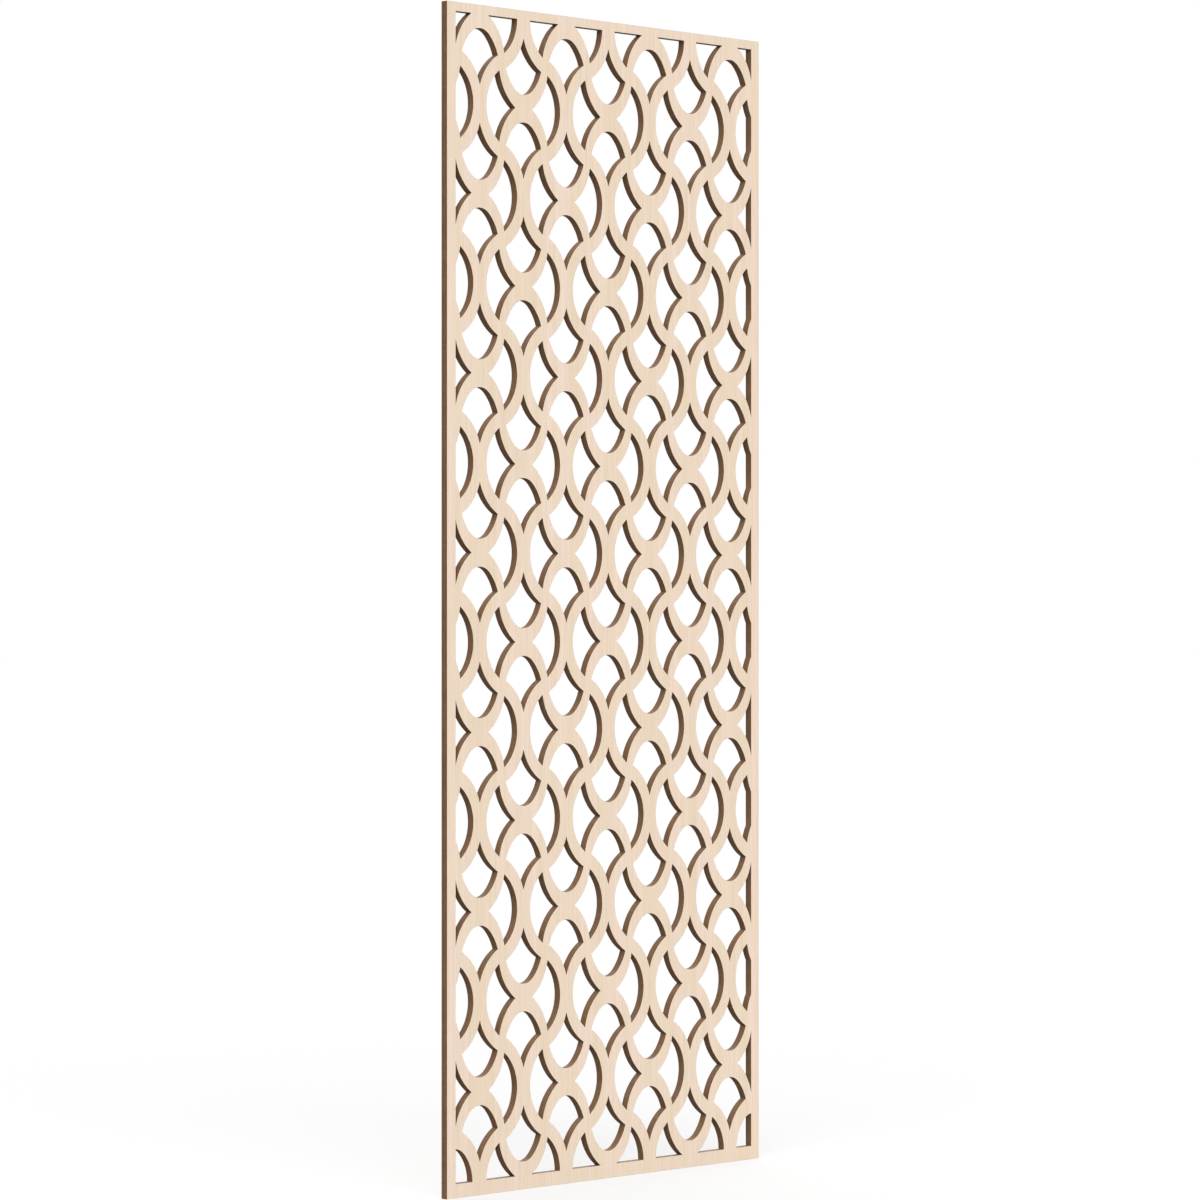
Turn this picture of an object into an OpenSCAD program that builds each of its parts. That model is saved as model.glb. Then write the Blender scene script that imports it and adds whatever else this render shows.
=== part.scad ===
// Fretwork wood panel: one plywood sheet, cut right through with rows of fan and
// lobe openings inside a plain border. X is the width, Z the height, and the
// front face looks towards -Y. The origin is the middle of the bottom edge.
// The sheet is a stack of glued plies, and every ply carries the same cut-outs.

/* [Panel] */
// Width of the whole panel
panel_w = 916; // [420:2:1200]
// Thickness of the whole sheet
sheet_t = 16; // [12:0.5:25]
// Thickness of each of the two face veneers
veneer_t = 0.6; // [0.4:0.1:1]
// Border left solid down each side
side_border = 24; // [20:0.5:40]
// Border left solid along the top
top_border = 18.5; // [15:0.5:60]
// Border left solid along the bottom
bottom_border = 28.5; // [15:0.5:60]

/* [Pattern] */
// Half rows of the pattern between the top and the bottom border
half_rows = 13; // [3:1:13]
// Distance from one knot to the next one above it
pitch_z = 362; // [356:0.5:372]
// Distance from one knot to the next one beside it
pitch_x = 244.8; // [240:0.2:256]

/* [Fan opening] */
// Height of the fan's round end above its knot
fan_foot = 28.2; // [26:0.2:32]
// Radius of the round end
fan_foot_r = 36.5; // [32:0.5:38]
// Radius of the flatter side on from the round end
fan_side_r = 97; // [92:0.5:102]
// Radius of each hollow side up to the point
fan_hollow_r = 107.6; // [106:0.2:109]
// Distance of a hollow side's centre from the fan's middle line
fan_hollow_x = 103.5; // [102:0.1:105]
// Height of a hollow side's centre above the knot
fan_hollow_z = 171.7; // [170:0.1:173]

/* [Lobe opening] */
// Radius of the lobe's outer side
lobe_out_r = 91; // [89.6:0.2:92]
// Distance of the outer side's centre from the knot
lobe_out_x = 13; // [12:0.2:14]
// Radius of each hollow inner side
lobe_hollow_r = 110.4; // [109:0.2:111]
// Distance of a hollow side's centre back beyond the knot
lobe_hollow_x = 40.8; // [39:0.2:42]
// Height of a hollow side's centre above or below the knot
lobe_hollow_z = 89.7; // [89:0.1:91]

/* [Corner opening] */
// Distance of the arch's middle line from the knot outside the border
corner_x = 51.2; // [50.4:0.2:52]
// Radius of the arch's round top
corner_top_r = 36.5; // [35:0.5:38]
// Radius of the flatter side below the round top
corner_side_r = 84; // [82:0.5:86]

/* [Hidden] */

// Seven plies of equal thickness lie between the two face veneers
inner_plies = 7;
ply_t = (sheet_t - 2 * veneer_t) / inner_plies;
panel_h = bottom_border + top_border + half_rows * pitch_z / 2;
open_w = panel_w - 2 * side_border;
open_h = half_rows * pitch_z / 2;
// Columns of knots on each side of the middle whose openings reach the pattern's edge
side_columns = ceil((open_w / 2 + lobe_out_r + lobe_out_x) / (pitch_x / 2)) - 1;
// A round end runs into the flatter sides halfway round, at 45 degrees
join_angle = 45;
fan_foot_z = fan_foot + fan_foot_r;
fan_join_z = fan_foot_z - fan_foot_r * cos(join_angle);
fan_side_x = (fan_side_r - fan_foot_r) * sin(join_angle);
fan_side_z = fan_foot_z + (fan_side_r - fan_foot_r) * cos(join_angle);
// A knot further out than this has its fans clear of the pattern, as half a fan is never
// wider than the last two terms
clear_x = open_w / 2 + fan_side_r - fan_side_x;
corner_top_z = (corner_side_r - corner_top_r) * cos(join_angle);
corner_join_z = corner_top_z + corner_top_r * sin(join_angle);
corner_side_x = (corner_side_r - corner_top_r) * sin(join_angle);
maple = "#EDD9C2";
burnt_long = "#765A44";
burnt_cross = "#67503D";
$fn = 96;

// Opening like an ogee fan: round end near the knot, point away from it
module fan_opening() {
    translate([0, fan_foot_z]) circle(r = fan_foot_r);
    difference() {
        intersection() {
            translate([-fan_side_x, fan_side_z]) circle(r = fan_side_r);
            translate([fan_side_x, fan_side_z]) circle(r = fan_side_r);
            translate([-fan_side_r, fan_join_z]) square([2 * fan_side_r, fan_hollow_z - fan_join_z]);
        }
        for (s = [-1, 1])
            translate([s * fan_hollow_x, fan_hollow_z]) circle(r = fan_hollow_r);
    }
}

// Opening like a curved triangle: a point near the knot, a full round side away from it
module lobe_opening() {
    difference() {
        translate([lobe_out_x, 0]) circle(r = lobe_out_r);
        for (s = [-1, 1])
            translate([-lobe_hollow_x, s * lobe_hollow_z]) circle(r = lobe_hollow_r);
    }
}

// The four openings round one knot, where an upper and a lower loop touch
module knot_openings() {
    for (up = [0, 1]) mirror([0, up]) fan_opening();
    for (side = [0, 1]) mirror([side, 0]) lobe_opening();
}

// An arch on each side of a knot that lies beyond the side border, with its fans clear of
// the pattern. The border cuts one arch off near its crown, which leaves a corner opening.
module corner_openings() {
    for (side = [0, 1])
        mirror([side, 0]) translate([corner_x, 0]) {
            translate([0, corner_top_z]) circle(r = corner_top_r);
            intersection() {
                translate([-corner_side_x, 0]) circle(r = corner_side_r);
                translate([corner_side_x, 0]) circle(r = corner_side_r);
                translate([-corner_side_r, corner_join_z - 2 * corner_side_r]) square(2 * corner_side_r);
            }
        }
}

// Face of the panel, drawn with X across and Y up from the bottom edge
module fretwork() {
    difference() {
        translate([-panel_w / 2, 0]) square([panel_w, panel_h]);
        intersection() {
            translate([-open_w / 2, bottom_border]) square([open_w, open_h]);
            for (column = [-side_columns : side_columns])
                for (row = [abs(column) % 2 : 2 : half_rows])
                    translate([column * pitch_x / 2, bottom_border + row * pitch_z / 2]) {
                        if (row == 0 && abs(column) * pitch_x / 2 > clear_x) corner_openings();
                        else knot_openings();
                    }
        }
    }
}

// One ply of the sheet: its front lies at front_y, and it runs back by t
module ply(front_y, t, shade) {
    color(shade) translate([0, front_y + t, 0]) rotate([90, 0, 0]) linear_extrude(t) fretwork();
}

// One of the plies between the veneers, counted from the front
module inner_ply(place, shade) {
    ply(-sheet_t / 2 + veneer_t + place * ply_t, ply_t, shade);
}

// Pale face, grain up the panel
module front_face_veneer() {
    ply(-sheet_t / 2, veneer_t, maple);
}

// Grain across the panel
module front_crossband() {
    inner_ply(0, burnt_cross);
}

// Grain up the panel
module front_long_ply() {
    inner_ply(1, burnt_long);
}

// Grain across the panel
module front_inner_crossband() {
    inner_ply(2, burnt_cross);
}

// Grain up the panel, on the sheet's middle plane
module centre_core_ply() {
    inner_ply(3, burnt_long);
}

// Grain across the panel
module back_inner_crossband() {
    inner_ply(4, burnt_cross);
}

// Grain up the panel
module back_long_ply() {
    inner_ply(5, burnt_long);
}

// Grain across the panel
module back_crossband() {
    inner_ply(6, burnt_cross);
}

// Pale back face, grain up the panel
module back_face_veneer() {
    ply(sheet_t / 2 - veneer_t, veneer_t, maple);
}

front_face_veneer();
front_crossband();
front_long_ply();
front_inner_crossband();
centre_core_ply();
back_inner_crossband();
back_long_ply();
back_crossband();
back_face_veneer();
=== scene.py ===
import math

import bmesh
import bpy
from mathutils import Matrix, Vector


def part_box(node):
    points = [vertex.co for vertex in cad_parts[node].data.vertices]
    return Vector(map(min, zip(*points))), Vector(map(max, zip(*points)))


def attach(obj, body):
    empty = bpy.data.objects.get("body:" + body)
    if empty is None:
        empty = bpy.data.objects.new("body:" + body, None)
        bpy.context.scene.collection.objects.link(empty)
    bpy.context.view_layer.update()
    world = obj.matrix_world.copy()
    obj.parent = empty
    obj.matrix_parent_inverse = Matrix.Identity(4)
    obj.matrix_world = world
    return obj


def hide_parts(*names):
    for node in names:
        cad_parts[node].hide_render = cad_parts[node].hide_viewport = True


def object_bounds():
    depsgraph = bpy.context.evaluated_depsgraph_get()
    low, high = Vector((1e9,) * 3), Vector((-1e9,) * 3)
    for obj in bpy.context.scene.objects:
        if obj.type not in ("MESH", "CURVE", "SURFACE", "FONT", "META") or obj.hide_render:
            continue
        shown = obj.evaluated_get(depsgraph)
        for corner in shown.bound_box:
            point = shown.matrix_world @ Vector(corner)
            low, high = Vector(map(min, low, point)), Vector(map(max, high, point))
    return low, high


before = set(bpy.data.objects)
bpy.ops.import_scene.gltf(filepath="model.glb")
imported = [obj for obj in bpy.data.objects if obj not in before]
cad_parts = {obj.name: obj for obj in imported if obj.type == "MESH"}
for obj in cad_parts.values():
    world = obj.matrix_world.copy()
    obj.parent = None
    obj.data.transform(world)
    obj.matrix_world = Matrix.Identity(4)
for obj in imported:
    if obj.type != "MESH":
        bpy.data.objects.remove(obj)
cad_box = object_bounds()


# Core and long plies
# Three sheets of 2 mm wood whose grain runs up the panel: the core on the middle plane and one
# on each side of it. The nine plies are glued up into one board, and the fretwork is then cut
# through all of them in one pass, so every ply is made from the same flat drawing.
WIDTH = cad_box[1].x - cad_box[0].x
HEIGHT = cad_box[1].z - cad_box[0].z
SIDE_BORDER = 0.024
BOTTOM_BORDER = 0.0285
HALF_ROWS = 13
# A quarter of the pattern's repeat, between a knot and the next one up and across
CELL = Vector((0.1224, 0, 0.181))
KNOT = Vector((0, 0, 0))

# Lobe opening beside a knot: two hollow sides that meet near the knot, and a full outer side
LOBE_HOLLOW = Vector((-0.0408, 0, 0.0897))
LOBE_HOLLOW_R = 0.1104
LOBE_OUT = Vector((0.013, 0, 0))
LOBE_OUT_R = 0.091

# Fan opening above a knot: a round end, a flatter side, and a hollow side up to the point
FAN_FOOT = 0.0282
FAN_FOOT_R = 0.0365
FAN_SIDE_R = 0.097
FAN_HOLLOW = Vector((0.1035, 0, 0.1717))
FAN_HOLLOW_R = 0.1076
JOIN_ANGLE = math.radians(45)

# Arch at each bottom corner in place of the lobe: the side border cuts it off by its crown
CORNER_X = 0.0512
CORNER_TOP_R = 0.0365
CORNER_SIDE_R = 0.084

# The longest straight step along a curved wall, and how close two vertices are to be one
CHORD = 0.006
TOUCH = 1e-5
# Edges that turn by less shade as one curve, and faces tilted by less belong to the flat side
CRISP_ANGLE = math.radians(30)
FLAT_ANGLE = math.radians(8)


def crossing(centre, radius, other, other_radius, side):
    """Where two circles cross: side 1 is left of the way from the first centre to the other, and
    -1 is right of it."""
    way = other - centre
    along = (way.length_squared + radius**2 - other_radius**2) / (2 * way.length)
    off = math.sqrt(radius**2 - along**2)
    way.normalize()
    return centre + way * along + Vector((-way.z, 0, way.x)) * off * side


def line_to(bm, pen, end):
    """Draws a straight line from the pen's vertex, and returns the new end."""
    tip = bmesh.ops.extrude_vert_indiv(bm, verts=[pen])["verts"][0]
    tip.co = end
    return tip


def arc_to(bm, pen, centre, end):
    """Swings the pen's vertex round a centre to the end, in chords of even length."""
    start = pen.co - centre
    turn = math.atan2(start.z, start.x) - math.atan2(end.z - centre.z, end.x - centre.x)
    turn = (turn + math.pi) % (2 * math.pi) - math.pi
    steps = math.ceil(abs(turn) * start.length / CHORD)
    swung = bmesh.ops.spin(
        bm, geom=[pen], cent=centre, axis=(0, 1, 0), dvec=(0, 0, 0), angle=turn, steps=steps,
        use_merge=False, use_normal_flip=False, use_duplicate=False,
    )
    return [part for part in swung["geom_last"] if isinstance(part, bmesh.types.BMVert)][0]


def draw_lobe(bm, pen):
    """From the knot round the upper half of the lobe beside it, to the foot of the next column."""
    lobe_tip = Vector((LOBE_HOLLOW.x + math.sqrt(LOBE_HOLLOW_R**2 - LOBE_HOLLOW.z**2), 0, 0))
    lobe_shoulder = crossing(LOBE_OUT, LOBE_OUT_R, LOBE_HOLLOW, LOBE_HOLLOW_R, -1)
    pen = line_to(bm, pen, lobe_tip)
    pen = arc_to(bm, pen, LOBE_HOLLOW, lobe_shoulder)
    pen = arc_to(bm, pen, LOBE_OUT, LOBE_OUT + Vector((LOBE_OUT_R, 0, 0)))
    return line_to(bm, pen, Vector((CELL.x, 0, 0)))


def draw_corner_arch(bm, pen):
    """From the knot over the arch of a bottom corner: a round top between two flatter sides."""
    top_centre = Vector((CORNER_X, 0, (CORNER_SIDE_R - CORNER_TOP_R) * math.cos(JOIN_ANGLE)))
    side_centre = Vector((CORNER_X - (CORNER_SIDE_R - CORNER_TOP_R) * math.sin(JOIN_ANGLE), 0, 0))
    out = Vector((math.sin(JOIN_ANGLE), 0, math.cos(JOIN_ANGLE)))
    pen = line_to(bm, pen, Vector((CORNER_X, 0, 0)))
    pen = line_to(bm, pen, top_centre + Vector((0, 0, CORNER_TOP_R)))
    pen = arc_to(bm, pen, top_centre, top_centre + out * CORNER_TOP_R)
    pen = arc_to(bm, pen, side_centre, side_centre + Vector((CORNER_SIDE_R, 0, 0)))
    return line_to(bm, pen, Vector((CELL.x, 0, 0)))


def draw_fan(bm, pen):
    """From the foot of the next column up round half of the fan that points down there."""
    foot_centre = Vector((0, 0, FAN_FOOT + FAN_FOOT_R))
    out = Vector((math.sin(JOIN_ANGLE), 0, -math.cos(JOIN_ANGLE)))
    fan_join = foot_centre + out * FAN_FOOT_R
    fan_side = foot_centre - out * (FAN_SIDE_R - FAN_FOOT_R)
    fan_hip = crossing(fan_side, FAN_SIDE_R, FAN_HOLLOW, FAN_HOLLOW_R, -1)
    fan_tip = Vector((0, 0, FAN_HOLLOW.z - math.sqrt(FAN_HOLLOW_R**2 - FAN_HOLLOW.x**2)))
    pen = line_to(bm, pen, CELL - fan_tip)
    pen = arc_to(bm, pen, CELL - FAN_HOLLOW, CELL - fan_hip)
    pen = arc_to(bm, pen, CELL - fan_side, CELL - fan_join)
    pen = arc_to(bm, pen, CELL - foot_centre, Vector((CELL.x, 0, CELL.z - FAN_FOOT)))
    return line_to(bm, pen, CELL)


def draw_quarter(draw_side):
    """The wood left in one quarter of the repeat, with a knot in its lower left and upper right.
    The outline's upper half is the regular lower one turned half round."""
    bm = bmesh.new()
    pen = bm.verts.new(KNOT)
    draw_fan(bm, draw_lobe(bm, pen))
    bmesh.ops.rotate(bm, verts=bm.verts[:], cent=CELL / 2, matrix=Matrix.Rotation(math.pi, 3, "Y"))
    pen = bm.verts.new(KNOT)
    draw_fan(bm, draw_side(bm, pen))
    bmesh.ops.remove_doubles(bm, verts=bm.verts[:], dist=TOUCH)
    bmesh.ops.contextual_create(bm, geom=bm.edges[:])
    return bm


def add_border(bm, rim, outwards):
    """Grows a solid strip from the vertices of one side, also past the openings that end there."""
    ribs = [bmesh.ops.extrude_vert_indiv(bm, verts=[vert]) for vert in rim]
    bmesh.ops.translate(bm, verts=[rib["verts"][0] for rib in ribs], vec=outwards)
    for rib, next_rib in zip(ribs, ribs[1:]):
        bmesh.ops.contextual_create(bm, geom=rib["edges"] + next_rib["edges"])


def both_hands(quarter):
    """A quarter as it is drawn, and mirrored left to right."""
    plain = bpy.data.meshes.new("quarter")
    quarter.to_mesh(plain)
    bmesh.ops.scale(quarter, verts=quarter.verts[:], vec=(-1, 1, 1))
    bmesh.ops.translate(quarter, verts=quarter.verts[:], vec=(CELL.x, 0, 0))
    mirrored = bpy.data.meshes.new("mirrored_quarter")
    quarter.to_mesh(mirrored)
    quarter.free()
    return plain, mirrored


def draw_sheet():
    """The flat drawing of the whole panel: the quarters side by side, cut off and bordered."""
    regular = both_hands(draw_quarter(draw_lobe))
    corner = both_hands(draw_quarter(draw_corner_arch))
    bm = bmesh.new()
    open_half = WIDTH / 2 - SIDE_BORDER
    side_cells = math.ceil(open_half / CELL.x)
    for column in range(-side_cells, side_cells):
        for row in range(HALF_ROWS):
            at_corner = row == 0 and column in (-side_cells, side_cells - 1)
            before = len(bm.verts)
            bm.from_mesh((corner if at_corner else regular)[(column + row) % 2])
            bm.verts.ensure_lookup_table()
            place = (column * CELL.x, 0, BOTTOM_BORDER + row * CELL.z)
            bmesh.ops.translate(bm, verts=bm.verts[before:], vec=place)
    for quarter in regular + corner:
        bpy.data.meshes.remove(quarter)
    top = BOTTOM_BORDER + HALF_ROWS * CELL.z
    for side in (-1, 1):
        bmesh.ops.bisect_plane(
            bm, geom=bm.verts[:] + bm.edges[:] + bm.faces[:], dist=TOUCH,
            plane_co=(side * open_half, 0, 0), plane_no=(side, 0, 0), clear_outer=True,
        )
        # An opening may take up the pattern's corner, so the corner gets a vertex of its own
        for level in (BOTTOM_BORDER, top):
            bm.verts.new((side * open_half, 0, level))
    bmesh.ops.remove_doubles(bm, verts=bm.verts[:], dist=TOUCH)
    for side in (-1, 1):
        rim = [vert for vert in bm.verts if abs(vert.co.x - side * open_half) < TOUCH]
        rim.sort(key=lambda vert: vert.co.z)
        add_border(bm, rim, (side * SIDE_BORDER, 0, 0))
    for level, outwards in ((BOTTOM_BORDER, -BOTTOM_BORDER), (top, HEIGHT - top)):
        rim = [vert for vert in bm.verts if abs(vert.co.z - level) < TOUCH]
        rim.sort(key=lambda vert: vert.co.x)
        add_border(bm, rim, (0, 0, outwards))
    bmesh.ops.recalc_face_normals(bm, faces=bm.faces[:])
    return bm


def ease_arris(bm, outer):
    """Rounds the edge of the cut on the side of the ply that lies at outer on Y."""
    arris = [
        edge for edge in bm.edges
        if all(abs(vert.co.y - outer) < TOUCH for vert in edge.verts)
        and edge.calc_face_angle() > CRISP_ANGLE
    ]
    bmesh.ops.bevel(
        bm, geom=arris, offset=EASED, offset_type="OFFSET", segments=2, profile=0.5,
        affect="EDGES", material=-1,
    )


def cut_ply(name, finishes, eased_side=0):
    """One ply cut to the drawing, with a finish for its faces and one for its walls. eased_side
    is -1 or 1 where its front or back arris is eased."""
    low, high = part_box(name)
    bm = SHEET.copy()
    bmesh.ops.translate(bm, verts=bm.verts[:], vec=(0, low.y, 0))
    grown = bmesh.ops.extrude_face_region(bm, geom=bm.faces[:], use_keep_orig=True)["geom"]
    back = [part for part in grown if isinstance(part, bmesh.types.BMVert)]
    bmesh.ops.translate(bm, verts=back, vec=(0, high.y - low.y, 0))
    bmesh.ops.recalc_face_normals(bm, faces=bm.faces[:])
    if eased_side:
        ease_arris(bm, high.y if eased_side > 0 else low.y)
    for face in bm.faces:
        is_wall = abs(face.normal.y) < math.cos(FLAT_ANGLE)
        face.smooth = is_wall
        face.material_index = int(is_wall)
    for edge in bm.edges:
        edge.smooth = edge.calc_face_angle(0) < CRISP_ANGLE
    mesh = bpy.data.meshes.new(name + "_cut")
    bm.to_mesh(mesh)
    bm.free()
    ply = bpy.data.objects.new(name + "_cut", mesh)
    bpy.context.scene.collection.objects.link(ply)
    for finish in finishes:
        mesh.materials.append(finish)
    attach(ply, "root")
    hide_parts(name)
    return ply


def add_node(tree, kind, inputs, **settings):
    """One node of a finish: its inputs are plain values or other nodes' outputs."""
    made = tree.nodes.new(kind)
    for key, value in settings.items():
        setattr(made, key, value)
    for key, value in inputs.items():
        if isinstance(value, bpy.types.NodeSocket):
            tree.links.new(value, made.inputs[key])
        else:
            made.inputs[key].default_value = value
    return made


def new_finish(name):
    """An empty finish with its node tree, and the place on the piece in metres."""
    finish = bpy.data.materials.new(name)
    finish.use_nodes = True
    tree = finish.node_tree
    place = add_node(tree, "ShaderNodeTexCoord", {}).outputs["Object"]
    return finish, tree, place


def along_grain(grain, across, along):
    """Changes per metre on X, Y and Z for fibres that run along the grain's axis."""
    return tuple(along if axis == grain else across for axis in "XYZ")


def fibres(tree, place, per_metre, detail):
    """Noise between 0 and 1, drawn out along the axis that has the fewest changes per metre."""
    stretched = add_node(tree, "ShaderNodeMapping", {"Vector": place, "Scale": per_metre})
    noise = add_node(
        tree, "ShaderNodeTexNoise",
        {"Vector": stretched.outputs[0], "Scale": 1.0, "Detail": detail, "Roughness": 0.55},
    )
    return noise.outputs[0]


def spread(tree, value, span, out):
    """Turns the part of a value inside span into a value that runs over out."""
    return add_node(
        tree, "ShaderNodeMapRange",
        {
            "Value": value, "From Min": span[0], "From Max": span[1],
            "To Min": out[0], "To Max": out[1],
        },
    ).outputs[0]


def tint(tree, share, colour, other):
    """Mixes another colour into a colour by a share between 0 and 1."""
    mix = add_node(tree, "ShaderNodeMix", {0: share}, data_type="RGBA")
    for index, value in ((6, colour), (7, other)):
        if isinstance(value, bpy.types.NodeSocket):
            tree.links.new(value, mix.inputs[index])
        else:
            mix.inputs[index].default_value = (*value, 1)
    return mix.outputs[2]


def srgb(red, green, blue):
    """A colour as a screen shows it, 0 to 255, as the linear values that a shader takes."""
    return tuple(
        part / 12.92 if part <= 0.04045 else ((part + 0.055) / 1.055) ** 2.4
        for part in (red / 255, green / 255, blue / 255)
    )


def finish_surface(tree, colour, height, depth, roughness, gloss):
    """Closes a finish: colour, roughness and gloss, with a relief of the given depth in metres."""
    relief = add_node(
        tree, "ShaderNodeBump", {"Height": height, "Distance": depth, "Strength": 1.0}
    )
    shader = tree.nodes["Principled BSDF"]
    tree.links.new(colour, shader.inputs["Base Color"])
    tree.links.new(relief.outputs[0], shader.inputs["Normal"])
    tree.links.new(roughness, shader.inputs["Roughness"])
    shader.inputs["Specular IOR Level"].default_value = gloss


def raw_ply(name, grain, pale, dark):
    """Glue face of an inner ply: rotary-cut wood, plain, with its grain along one axis."""
    finish, tree, place = new_finish(name)
    band = fibres(tree, place, along_grain(grain, across=30, along=1.2), detail=2)
    fibre = fibres(tree, place, along_grain(grain, across=900, along=18), detail=3)
    colour = tint(tree, spread(tree, band, (0.35, 0.65), (0, 1)), pale, dark)
    colour = tint(tree, spread(tree, fibre, (0.45, 0.7), (0, 0.35)), colour, dark)
    rough = spread(tree, fibre, (0.3, 0.7), (0.6, 0.75))
    finish_surface(tree, colour, height=fibre, depth=0.00006, roughness=rough, gloss=0.25)
    return finish


def from_glue_line(tree, place):
    """Distance through the board from the nearest glue line between two inner plies."""
    through = add_node(tree, "ShaderNodeSeparateXYZ", {"Vector": place}).outputs["Y"]
    from_first = add_node(
        tree, "ShaderNodeMath", {0: through, 1: -CORE_HALF}, operation="SUBTRACT"
    ).outputs[0]
    return add_node(
        tree, "ShaderNodeMath", {0: from_first, 1: CORE_HALF}, operation="PINGPONG"
    ).outputs[0]


def burnt_cut(name, grain, brown, char):
    """Wall of the cut: scorched brown, with fibres along the grain, fine marks of the beam
    straight through the board, and a dark line at each glue joint."""
    finish, tree, place = new_finish(name)
    patch = fibres(tree, place, (28, 28, 28), detail=2)
    fibre = fibres(tree, place, along_grain(grain, across=1300, along=45), detail=3)
    beam = fibres(tree, place, along_grain("Y", across=850, along=35), detail=2)
    glue = spread(tree, from_glue_line(tree, place), (0.00006, 0.00022), (0.55, 0))
    colour = tint(tree, spread(tree, patch, (0.35, 0.65), (0, 0.3)), brown, char)
    colour = tint(tree, spread(tree, fibre, (0.42, 0.68), (0, 0.45)), colour, char)
    colour = tint(tree, spread(tree, beam, (0.45, 0.7), (0, 0.35)), colour, char)
    colour = tint(tree, glue, colour, char)
    rough = spread(tree, beam, (0.3, 0.7), (0.62, 0.8))
    finish_surface(tree, colour, height=beam, depth=0.00008, roughness=rough, gloss=0.12)
    return finish


CORE_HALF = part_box("centre_core_ply")[1].y
SHEET = draw_sheet()
long_faces = raw_ply("long_ply_face", "Z", pale=srgb(226, 201, 168), dark=srgb(208, 178, 142))
long_walls = burnt_cut("long_ply_burnt_cut", "Z", brown=srgb(140, 108, 80), char=srgb(88, 64, 45))
for name in ("centre_core_ply", "front_long_ply", "back_long_ply"):
    cut_ply(name, (long_faces, long_walls))


# Crossbands
# Four sheets of the same thickness, laid with their grain across the panel between the long
# plies and under the face veneers, which keeps the board flat. Where a wall stands upright the
# cut meets their end grain, which burns a little darker than the long plies beside it.
cross_faces = raw_ply("crossband_face", "X", pale=srgb(222, 196, 162), dark=srgb(203, 172, 136))
cross_walls = burnt_cut("crossband_burnt_cut", "X", brown=srgb(125, 96, 71), char=srgb(77, 56, 40))
for name in ("front_inner_crossband", "back_inner_crossband", "front_crossband", "back_crossband"):
    cut_ply(name, (cross_faces, cross_walls))


# Face veneers
# Pale maple 0.6 mm thick on the front and the back, with fine straight grain up the whole
# height, sanded smooth and left matt. The sharp edge of the cut is eased a little and scorched.
EASED = 0.00025
HONEY = srgb(241, 222, 196)
CREAM = srgb(246, 226, 208)
DARK_STREAK = srgb(229, 204, 179)
DARK_FIBRE = srgb(217, 190, 164)
PALE_FLECK = srgb(249, 234, 217)
# The grain strays this far sideways from a straight line
STRAY = 0.012


def maple_face():
    """Maple in soft bands of honey and cream, with fine fibres and short pale flecks."""
    finish, tree, place = new_finish("maple_veneer_face")
    wander = fibres(tree, place, (2, 2, 1.1), detail=1)
    shift = spread(tree, wander, (0, 1), (-STRAY, STRAY))
    aside = add_node(tree, "ShaderNodeCombineXYZ", {"X": shift}).outputs[0]
    bent = add_node(tree, "ShaderNodeVectorMath", {0: place, 1: aside}, operation="ADD").outputs[0]
    band = fibres(tree, bent, along_grain("Z", across=42, along=0.7), detail=2)
    streak = fibres(tree, bent, along_grain("Z", across=230, along=2.4), detail=3)
    fibre = fibres(tree, bent, along_grain("Z", across=1300, along=13), detail=3)
    fleck = fibres(tree, bent, along_grain("Z", across=520, along=110), detail=1)
    colour = tint(tree, spread(tree, band, (0.36, 0.64), (0, 1)), HONEY, CREAM)
    colour = tint(tree, spread(tree, streak, (0.4, 0.72), (0, 0.48)), colour, DARK_STREAK)
    colour = tint(tree, spread(tree, fibre, (0.44, 0.72), (0, 0.36)), colour, DARK_FIBRE)
    colour = tint(tree, spread(tree, fleck, (0.62, 0.74), (0, 0.35)), colour, PALE_FLECK)
    rough = spread(tree, streak, (0.3, 0.7), (0.5, 0.62))
    finish_surface(tree, colour, height=fibre, depth=0.00003, roughness=rough, gloss=0.25)
    return finish


veneer_face = maple_face()
veneer_walls = burnt_cut("veneer_burnt_cut", "Z", brown=srgb(133, 102, 75), char=srgb(84, 61, 43))
for name, side in (("front_face_veneer", -1), ("back_face_veneer", 1)):
    cut_ply(name, (veneer_face, veneer_walls), side)
SHEET.free()


# Floor and light
# A plain white studio floor that runs out of sight, a large soft lamp high in front on the
# left, and a like one behind on the right, so that the back shows as well as the front.
FLOOR_SIZE = 120
# The floor as the light meets it, and its shade and glow as the camera sees it
FLOOR_BOUNCE = (0.22, 0.22, 0.22, 1)
FLOOR_SHADE = (0.25, 0.25, 0.25, 1)
FLOOR_GLOW = 0.65
# The sky's strength as a light, while the camera sees it as plain white
SKY_LIGHT = 0.205
LAMP_WIDTH = math.radians(70)
WHITE = (1, 1, 1, 1)


def seen_ray(tree):
    """1 where the camera looks straight at a surface, or sees it in gloss or glass."""
    path = add_node(tree, "ShaderNodeLightPath", {})
    total = path.outputs["Is Camera Ray"]
    for kind in ("Is Glossy Ray", "Is Transmission Ray"):
        total = add_node(
            tree, "ShaderNodeMath", {0: total, 1: path.outputs[kind]},
            operation="ADD", use_clamp=True,
        ).outputs[0]
    return total


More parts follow.
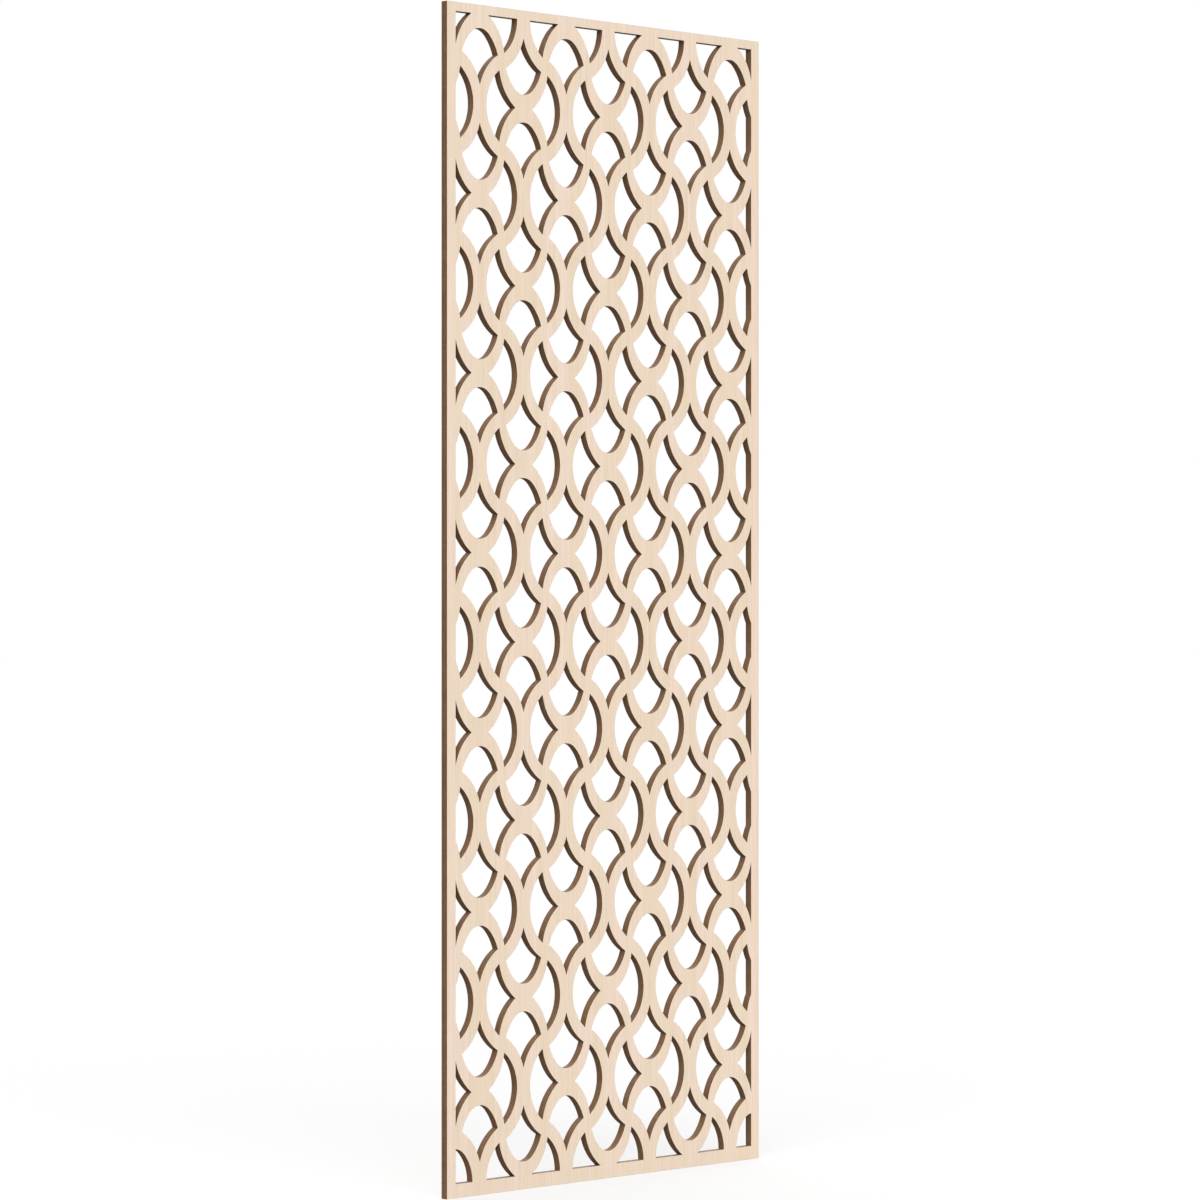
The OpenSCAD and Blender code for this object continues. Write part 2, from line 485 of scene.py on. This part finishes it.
def white_floor():
    """Pale grey to the light, so that little of it bounces up, and white to the camera with a
    share of the same shadow."""
    floor_white = bpy.data.materials.new("studio_floor")
    floor_white.use_nodes = True
    tree = floor_white.node_tree
    tree.nodes.clear()
    bounce = add_node(tree, "ShaderNodeBsdfDiffuse", {"Color": FLOOR_BOUNCE})
    matt = add_node(tree, "ShaderNodeBsdfDiffuse", {"Color": FLOOR_SHADE})
    glow = add_node(tree, "ShaderNodeEmission", {"Color": WHITE, "Strength": FLOOR_GLOW})
    seen = add_node(tree, "ShaderNodeAddShader", {0: matt.outputs[0], 1: glow.outputs[0]})
    mix = add_node(
        tree, "ShaderNodeMixShader", {0: seen_ray(tree), 1: bounce.outputs[0], 2: seen.outputs[0]}
    )
    add_node(tree, "ShaderNodeOutputMaterial", {"Surface": mix.outputs[0]})
    return floor_white


def add_sun(name, towards, strength):
    """A soft lamp far away: towards points from the panel to the lamp."""
    lamp = bpy.data.lights.new(name, "SUN")
    lamp.energy = strength
    lamp.angle = LAMP_WIDTH
    sun = bpy.data.objects.new(name, lamp)
    sun.rotation_euler = Vector(towards).to_track_quat("Z", "Y").to_euler()
    bpy.context.scene.collection.objects.link(sun)


bm = bmesh.new()
bmesh.ops.create_grid(bm, x_segments=1, y_segments=1, size=FLOOR_SIZE / 2)
floor_mesh = bpy.data.meshes.new("floor")
bm.to_mesh(floor_mesh)
bm.free()
floor_mesh.materials.append(white_floor())
floor = bpy.data.objects.new("floor", floor_mesh)
bpy.context.scene.collection.objects.link(floor)

add_sun("front_lamp", towards=(-0.5, -0.6, 0.62), strength=3.72)
add_sun("back_lamp", towards=(0.6, 0.64, 0.48), strength=3.2)

world = bpy.data.worlds.new("studio")
bpy.context.scene.world = world
world.use_nodes = True
sky = world.node_tree
sky.nodes.clear()
dim = add_node(sky, "ShaderNodeBackground", {"Color": WHITE, "Strength": SKY_LIGHT})
white = add_node(sky, "ShaderNodeBackground", {"Color": WHITE, "Strength": 1.0})
seen_sky = add_node(
    sky, "ShaderNodeMixShader", {0: seen_ray(sky), 1: dim.outputs[0], 2: white.outputs[0]}
)
add_node(sky, "ShaderNodeOutputWorld", {"Surface": seen_sky.outputs[0]})
bpy.context.scene.view_settings.view_transform = "Standard"


# Camera
# Level, at half the panel's height, 45 degrees round to the left of the front, and far enough
# away that the near edge just fills the picture from top to bottom.
AIM = Vector((-0.0247, cad_box[0].y, HEIGHT / 2))
DISTANCE = 9.038
TURN = math.radians(45)
# The picture's width and the lens in millimetres, as on a camera
PICTURE_WIDTH = 36
LENS = 130.86
# The camera sees as far as this, past the edge of the floor
SIGHT = 500
lens = bpy.data.cameras.new("camera")
lens.sensor_width = PICTURE_WIDTH
lens.lens = LENS
lens.clip_end = SIGHT
camera = bpy.data.objects.new("camera", lens)
camera.location = AIM + Vector((-math.sin(TURN), -math.cos(TURN), 0)) * DISTANCE
camera.rotation_euler = (math.radians(90), 0, -TURN)
bpy.context.scene.collection.objects.link(camera)
bpy.context.scene.camera = camera
